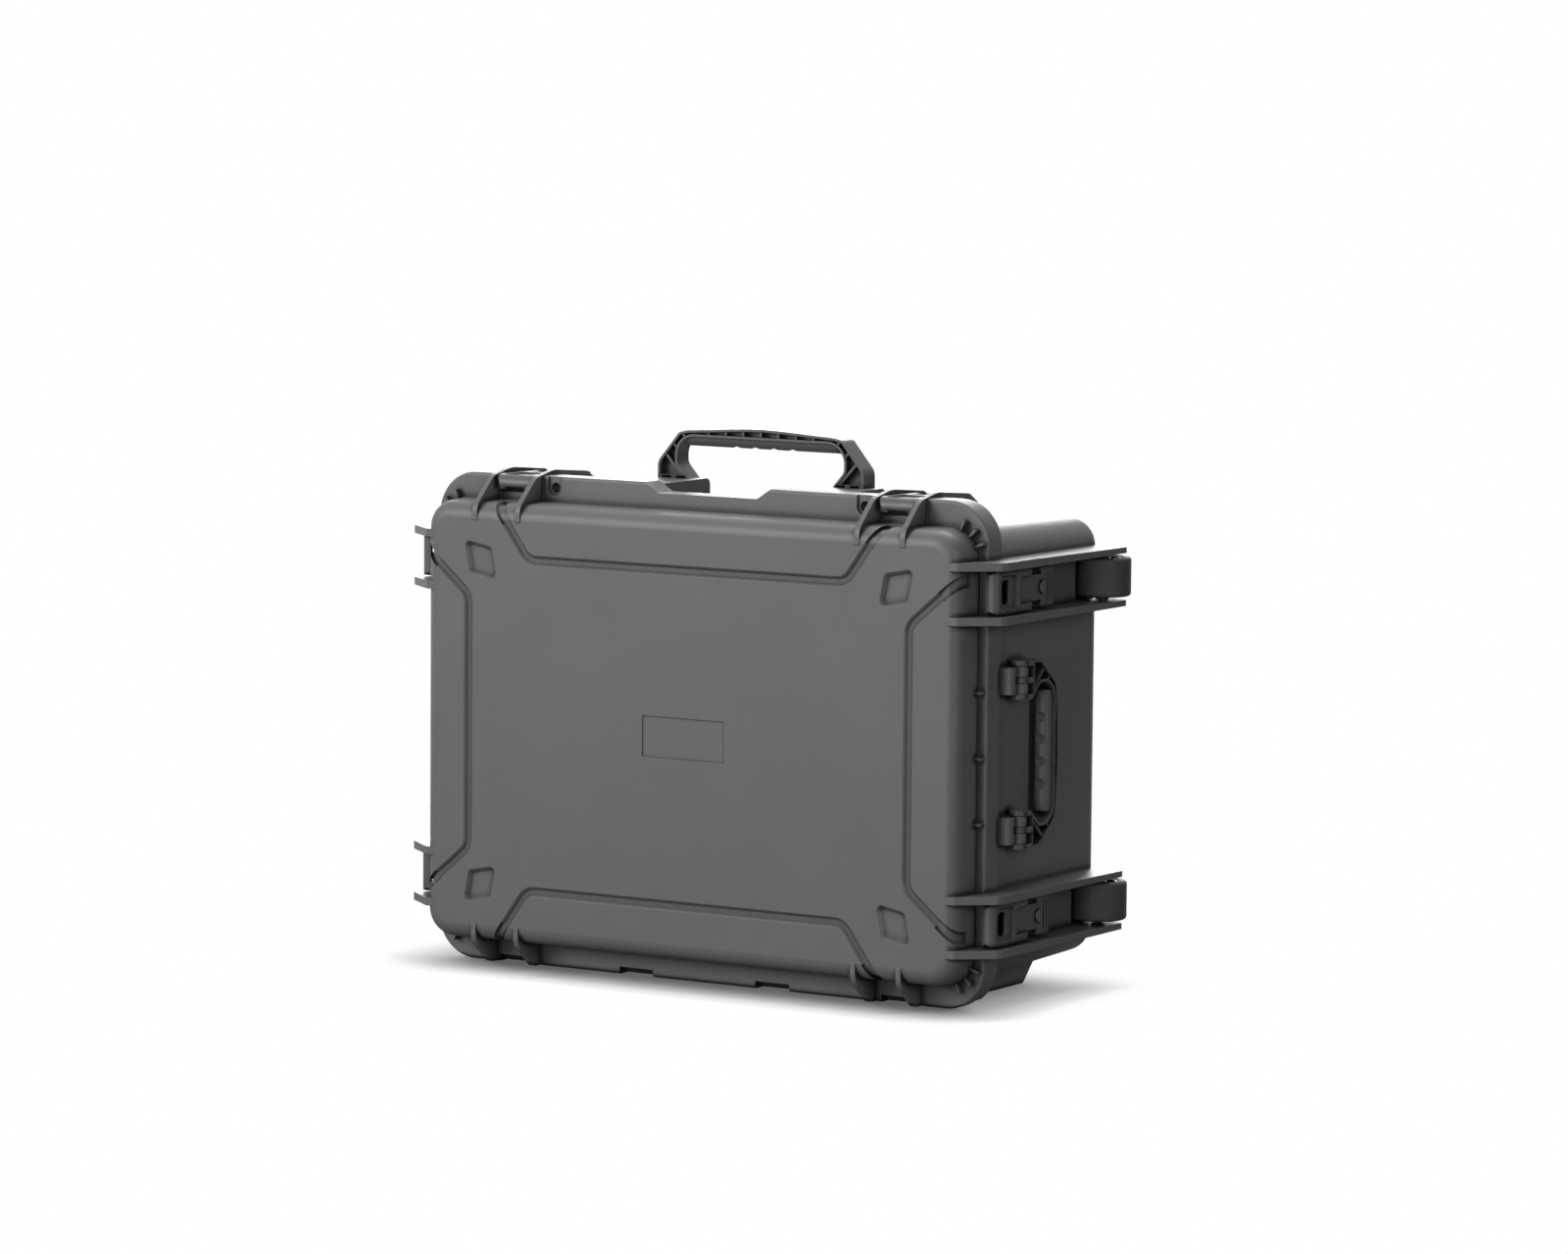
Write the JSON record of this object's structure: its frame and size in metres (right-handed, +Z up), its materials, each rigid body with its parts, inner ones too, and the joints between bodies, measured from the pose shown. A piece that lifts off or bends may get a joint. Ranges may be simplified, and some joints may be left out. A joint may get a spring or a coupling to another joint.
{
  "type": "wheeled hard case",
  "caption": "Wheeled hard case for carrying laptops, with a hinged lid, latches, folding grip handles, a telescopic pull handle and a foam lining.",
  "frame": {"origin": "on the floor that the case stands on, at the middle of its width, in the plane where lid and base meet", "axes": "+X to the side with the wheels, +Y from the lid to the rear of the base, +Z up"},
  "size_m": [0.616, 0.2466, 0.4773],
  "materials": {
    "shell_polymer": "satin",
    "latch_polymer": "satin",
    "button_polymer": "satin",
    "handle_polymer": "satin",
    "wheel_polymer": "satin",
    "tyre_rubber": "satin",
    "seal_rubber": "matte",
    "foam": "matte",
    "rail_aluminium": "satin",
    "steel": "satin"
  },
  "bodies": {
    "base": {"base_shell": "shell_polymer", "wheel_axles": "steel", "latch_pivot_pins": "steel", "top_handle_pins": "steel", "side_handle_pins": "steel", "foam_frame": "foam", "foam_floor": "foam", "pull_rails_fixed": "rail_aluminium", "pull_rail_spacers": "handle_polymer", "pull_rail_covers": "handle_polymer", "cover_screws": "steel"},
    "lid": {"lid_shell": "shell_polymer", "lid_seal": "seal_rubber", "hinge_pins": "steel", "foam_lid": "foam"},
    "lever_top_left": {"latch_lever_top_left": "latch_polymer"},
    "claw_top_left": {"latch_claw_top_left": "latch_polymer", "latch_link_pin_top_left": "steel"},
    "button_top_left": {"latch_button_top_left": "button_polymer"},
    "lever_top_right": {"latch_lever_top_right": "latch_polymer"},
    "claw_top_right": {"latch_claw_top_right": "latch_polymer", "latch_link_pin_top_right": "steel"},
    "button_top_right": {"latch_button_top_right": "button_polymer"},
    "lever_right_upper": {"latch_lever_right_upper": "latch_polymer"},
    "claw_right_upper": {"latch_claw_right_upper": "latch_polymer", "latch_link_pin_right_upper": "steel"},
    "button_right_upper": {"latch_button_right_upper": "button_polymer"},
    "lever_right_lower": {"latch_lever_right_lower": "latch_polymer"},
    "claw_right_lower": {"latch_claw_right_lower": "latch_polymer", "latch_link_pin_right_lower": "steel"},
    "button_right_lower": {"latch_button_right_lower": "button_polymer"},
    "lever_left_upper": {"latch_lever_left_upper": "latch_polymer"},
    "claw_left_upper": {"latch_claw_left_upper": "latch_polymer", "latch_link_pin_left_upper": "steel"},
    "button_left_upper": {"latch_button_left_upper": "button_polymer"},
    "lever_left_lower": {"latch_lever_left_lower": "latch_polymer"},
    "claw_left_lower": {"latch_claw_left_lower": "latch_polymer", "latch_link_pin_left_lower": "steel"},
    "button_left_lower": {"latch_button_left_lower": "button_polymer"},
    "top_handle": {"top_handle": "handle_polymer"},
    "side_handle": {"side_handle": "handle_polymer"},
    "wheel_upper": {"wheel_hub_upper": "wheel_polymer", "wheel_tyre_upper": "tyre_rubber"},
    "wheel_lower": {"wheel_hub_lower": "wheel_polymer", "wheel_tyre_lower": "tyre_rubber"},
    "pull_middle": {"pull_rails_middle": "rail_aluminium"},
    "pull_handle": {"pull_rails_inner": "rail_aluminium", "pull_grip": "handle_polymer"},
    "pull_release": {"pull_release_button": "handle_polymer"}
  },
  "joints": [
    {"name": "lid_hinge", "type": "hinge", "parent": "base", "child": "lid", "pos_m": [0, 0, 0.006], "axis": [1, 0, 0], "range_deg": [0, 100]},
    {"name": "lever_top_left", "type": "hinge", "parent": "base", "child": "lever_top_left", "pos_m": [-0.1955, 0.02, 0.4227], "axis": [1, 0, 0], "range_deg": [0, 90]},
    {"name": "claw_top_left", "type": "hinge", "parent": "lever_top_left", "child": "claw_top_left", "pos_m": [-0.1955, 0.037, 0.4287], "axis": [1, 0, 0], "range_deg": [-120, 0]},
    {"name": "button_top_left", "type": "slide", "parent": "lever_top_left", "child": "button_top_left", "axis": [0, 0, -1], "range_m": [0, 0.002], "stiffness_N_per_m": 400, "springref_m": -0.0005},
    {"name": "lever_top_right", "type": "hinge", "parent": "base", "child": "lever_top_right", "pos_m": [0.1955, 0.02, 0.4227], "axis": [1, 0, 0], "range_deg": [0, 90]},
    {"name": "claw_top_right", "type": "hinge", "parent": "lever_top_right", "child": "claw_top_right", "pos_m": [0.1955, 0.037, 0.4287], "axis": [1, 0, 0], "range_deg": [-120, 0]},
    {"name": "button_top_right", "type": "slide", "parent": "lever_top_right", "child": "button_top_right", "axis": [0, 0, -1], "range_m": [0, 0.002], "stiffness_N_per_m": 400, "springref_m": -0.0005},
    {"name": "lever_right_upper", "type": "hinge", "parent": "base", "child": "lever_right_upper", "pos_m": [0.2835, 0.02, 0.3582], "axis": [0, 0, -1], "range_deg": [0, 90]},
    {"name": "claw_right_upper", "type": "hinge", "parent": "lever_right_upper", "child": "claw_right_upper", "pos_m": [0.2895, 0.037, 0.3582], "axis": [0, 0, -1], "range_deg": [-120, 0]},
    {"name": "button_right_upper", "type": "slide", "parent": "lever_right_upper", "child": "button_right_upper", "axis": [-1, 0, 0], "range_m": [0, 0.002], "stiffness_N_per_m": 400, "springref_m": -0.0005},
    {"name": "lever_right_lower", "type": "hinge", "parent": "base", "child": "lever_right_lower", "pos_m": [0.2835, 0.02, 0.0758], "axis": [0, 0, -1], "range_deg": [0, 90]},
    {"name": "claw_right_lower", "type": "hinge", "parent": "lever_right_lower", "child": "claw_right_lower", "pos_m": [0.2895, 0.037, 0.0758], "axis": [0, 0, -1], "range_deg": [-120, 0]},
    {"name": "button_right_lower", "type": "slide", "parent": "lever_right_lower", "child": "button_right_lower", "axis": [-1, 0, 0], "range_m": [0, 0.002], "stiffness_N_per_m": 400, "springref_m": -0.0005},
    {"name": "lever_left_upper", "type": "hinge", "parent": "base", "child": "lever_left_upper", "pos_m": [-0.2835, 0.02, 0.3582], "axis": [0, 0, 1], "range_deg": [0, 90]},
    {"name": "claw_left_upper", "type": "hinge", "parent": "lever_left_upper", "child": "claw_left_upper", "pos_m": [-0.2895, 0.037, 0.3582], "axis": [0, 0, 1], "range_deg": [-120, 0]},
    {"name": "button_left_upper", "type": "slide", "parent": "lever_left_upper", "child": "button_left_upper", "axis": [1, 0, 0], "range_m": [0, 0.002], "stiffness_N_per_m": 400, "springref_m": -0.0005},
    {"name": "lever_left_lower", "type": "hinge", "parent": "base", "child": "lever_left_lower", "pos_m": [-0.2835, 0.02, 0.0758], "axis": [0, 0, 1], "range_deg": [0, 90]},
    {"name": "claw_left_lower", "type": "hinge", "parent": "lever_left_lower", "child": "claw_left_lower", "pos_m": [-0.2895, 0.037, 0.0758], "axis": [0, 0, 1], "range_deg": [-120, 0]},
    {"name": "button_left_lower", "type": "slide", "parent": "lever_left_lower", "child": "button_left_lower", "axis": [1, 0, 0], "range_m": [0, 0.002], "stiffness_N_per_m": 400, "springref_m": -0.0005},
    {"name": "top_handle", "type": "hinge", "parent": "base", "child": "top_handle", "pos_m": [0, 0.082, 0.424], "axis": [-1, 0, 0], "range_deg": [0, 90]},
    {"name": "side_handle", "type": "hinge", "parent": "base", "child": "side_handle", "pos_m": [0.2883, 0.029, 0.217], "axis": [0, 0, -1], "range_deg": [0, 90]},
    {"name": "wheel_upper", "type": "hinge", "parent": "base", "child": "wheel_upper", "pos_m": [0.288, 0.172, 0.3582], "axis": [0, 0, 1], "continuous": true},
    {"name": "wheel_lower", "type": "hinge", "parent": "base", "child": "wheel_lower", "pos_m": [0.288, 0.172, 0.0758], "axis": [0, 0, 1], "continuous": true},
    {"name": "pull_middle", "type": "slide", "parent": "base", "child": "pull_middle", "axis": [-1, 0, 0], "range_m": [0, 0.275]},
    {"name": "pull_handle", "type": "slide", "parent": "pull_middle", "child": "pull_handle", "axis": [-1, 0, 0], "range_m": [0, 0.245]},
    {"name": "pull_release", "type": "slide", "parent": "pull_handle", "child": "pull_release", "axis": [1, 0, 0], "range_m": [0, 0.004], "stiffness_N_per_m": 600, "springref_m": -0.0005}
  ],
  "couplings": [
    {"joint": "claw_top_left", "follows": "lever_top_left", "ratio": -1.33},
    {"joint": "claw_top_right", "follows": "lever_top_right", "ratio": -1.33},
    {"joint": "claw_right_upper", "follows": "lever_right_upper", "ratio": -1.33},
    {"joint": "claw_right_lower", "follows": "lever_right_lower", "ratio": -1.33},
    {"joint": "claw_left_upper", "follows": "lever_left_upper", "ratio": -1.33},
    {"joint": "claw_left_lower", "follows": "lever_left_lower", "ratio": -1.33}
  ]
}
